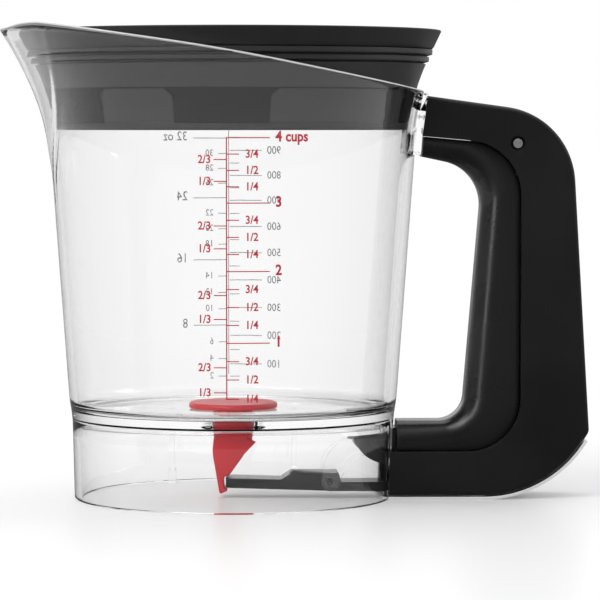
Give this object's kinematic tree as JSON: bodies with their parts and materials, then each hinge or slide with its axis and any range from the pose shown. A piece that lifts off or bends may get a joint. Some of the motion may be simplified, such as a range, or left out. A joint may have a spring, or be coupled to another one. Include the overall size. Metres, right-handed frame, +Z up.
{
  "type": "gravy fat separator",
  "caption": "Clear measuring jug with a pouring spout, a lift-out strainer and a squeeze handle whose trigger tips a rocker and lifts a stopper in the floor to let the liquid out below.",
  "frame": {"origin": "on the jug's axis in the plane that the skirt stands on", "axes": "+Z up along the jug's axis, +X towards the handle, -X towards the spout, -Y towards the side with the cup scale"},
  "size_m": [0.202, 0.1436, 0.1626],
  "materials": {
    "clear_plastic": "clear moulded plastic, polished",
    "handle_black": "black moulded plastic with a fine matt grain",
    "trigger_black": "black moulded plastic, satin",
    "strainer_black": "black moulded plastic, satin",
    "soft_black": "soft black rubber",
    "red_silicone": "translucent red silicone",
    "steel": "bright stainless steel"
  },
  "bodies": {
    "jug": {"jug_body": "clear_plastic", "handle_frame": "clear_plastic", "handle_shell_front": "handle_black", "handle_shell_back": "handle_black", "pivot_pin": "steel", "rocker_axle": "steel", "return_spring": "steel"},
    "trigger": {"trigger_core": "trigger_black", "trigger_grip": "trigger_black"},
    "rocker": {"rocker_arm": "trigger_black"},
    "stopper": {"stopper": "red_silicone"},
    "strainer": {"strainer_bowl": "strainer_black", "strainer_screen": "strainer_black", "strainer_rim_grip": "soft_black", "strainer_seal": "soft_black"}
  },
  "joints": [
    {"name": "trigger_squeeze", "type": "hinge", "parent": "jug", "child": "trigger", "pos_m": [0.0972, 0, 0.122], "axis": [0, -1, 0], "range_deg": [0, 5], "stiffness_Nm_per_rad": 3, "springref_deg": -2.01, "deforming": ["return_spring"]},
    {"name": "rocker_tilt", "type": "hinge", "parent": "jug", "child": "rocker", "pos_m": [0.033, 0, 0.0062], "axis": [0, 1, 0], "range_deg": [0, 5]},
    {"name": "stopper_lift", "type": "slide", "parent": "jug", "child": "stopper", "axis": [0, 0, 1], "range_m": [0, 0.003]},
    {"name": "strainer_lift_off", "type": "slide", "parent": "jug", "child": "strainer", "axis": [0, 0, 1], "range_m": [0, 0.06]}
  ],
  "couplings": [
    {"joint": "rocker_tilt", "follows": "trigger_squeeze", "ratio": 1},
    {"joint": "stopper_lift", "follows": "trigger_squeeze", "m_per_rad": 0.034}
  ]
}
